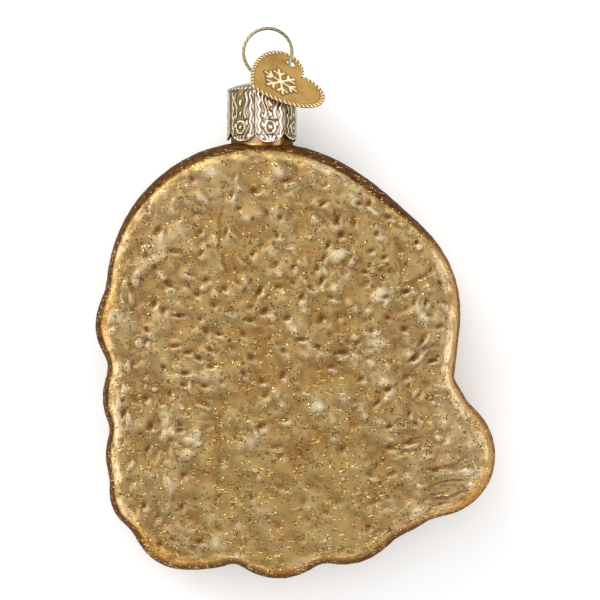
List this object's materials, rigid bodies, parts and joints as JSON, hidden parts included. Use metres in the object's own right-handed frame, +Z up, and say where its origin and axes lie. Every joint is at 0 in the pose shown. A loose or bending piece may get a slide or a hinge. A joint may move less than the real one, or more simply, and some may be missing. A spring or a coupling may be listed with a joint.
{
  "type": "biscuit-shaped glass tree ornament",
  "caption": "Blown-glass tree ornament shaped like an iced biscuit, seen from its gold back, with metal cap, wire hanger and swinging heart tag.",
  "frame": {"origin": "under the middle of the whole ornament, on the surface that its face lies on", "axes": "+Z up out of the ornament's back, +Y from the body towards the hanger, +X to the right seen from above"},
  "size_m": [0.0784, 0.108, 0.0224],
  "materials": {
    "gold_lacquered_glass": "champagne-gold lacquer over silvered glass, pebbled, browner on the rim, dusted with fine gold glitter",
    "stamped_cap_metal": "pale champagne plated sheet, stamped with scrolls, darkened in the hollows",
    "hanger_wire": "pale plated spring wire, satin",
    "tag_brass": "satin brass plate with a bright twisted border"
  },
  "bodies": {
    "ornament": {"glass_body": "gold_lacquered_glass", "cap": "stamped_cap_metal", "hanger": "hanger_wire"},
    "tag": {"tag": "tag_brass"}
  },
  "joints": [
    {"name": "tag_swing", "type": "hinge", "parent": "ornament", "child": "tag", "pos_m": [-0.00115, 0.04682, 0.0112], "axis": [0.4384, 0.8988, 0], "range_deg": [-25, 185]}
  ]
}
